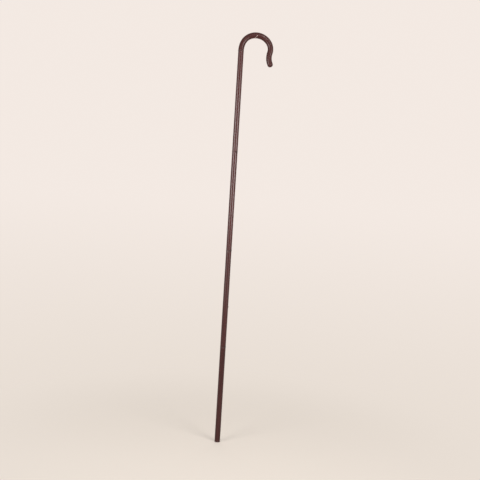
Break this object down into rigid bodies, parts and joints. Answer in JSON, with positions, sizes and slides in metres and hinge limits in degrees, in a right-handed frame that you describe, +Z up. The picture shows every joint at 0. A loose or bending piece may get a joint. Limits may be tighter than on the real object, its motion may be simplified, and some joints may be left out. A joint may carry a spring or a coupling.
{
  "type": "shepherd crook",
  "caption": "Take-apart shepherd crook: a slim straight staff of push-fit plastic tubes, topped by a bent hook with an outward-flared, rounded nose.",
  "frame": {"origin": "centre of the flat underside of the foot", "axes": "+Z up along the shaft, +X towards the hook; the crook bends in the XZ plane"},
  "size_m": [0.1175, 0.0194, 1.386],
  "materials": {
    "tube": "satin",
    "cap": "satin",
    "plug": "matte"
  },
  "bodies": {
    "foot_section": {"shaft_tube_4": "tube", "foot_cap": "cap"},
    "lower_section": {"shaft_tube_3": "tube", "joint_plug_4": "plug"},
    "middle_section": {"shaft_tube_2": "tube", "joint_plug_3": "plug"},
    "upper_section": {"shaft_tube_1": "tube", "joint_plug_2": "plug"},
    "crook_joint": {"joint_plug_1": "plug"},
    "crook": {"crook_tube": "tube", "nose_cap": "cap"}
  },
  "joints": [
    {"name": "lower_pull", "type": "slide", "parent": "foot_section", "child": "lower_section", "axis": [0, 0, 1], "range_m": [0, 0.06]},
    {"name": "middle_pull", "type": "slide", "parent": "lower_section", "child": "middle_section", "axis": [0, 0, 1], "range_m": [0, 0.06]},
    {"name": "upper_pull", "type": "slide", "parent": "middle_section", "child": "upper_section", "axis": [0, 0, 1], "range_m": [0, 0.06]},
    {"name": "crook_pull", "type": "slide", "parent": "upper_section", "child": "crook_joint", "axis": [0, 0, 1], "range_m": [0, 0.06]},
    {"name": "crook_turn", "type": "hinge", "parent": "crook_joint", "child": "crook", "pos_m": [0, 0, 1.323], "axis": [0, 0, 1], "continuous": true}
  ]
}
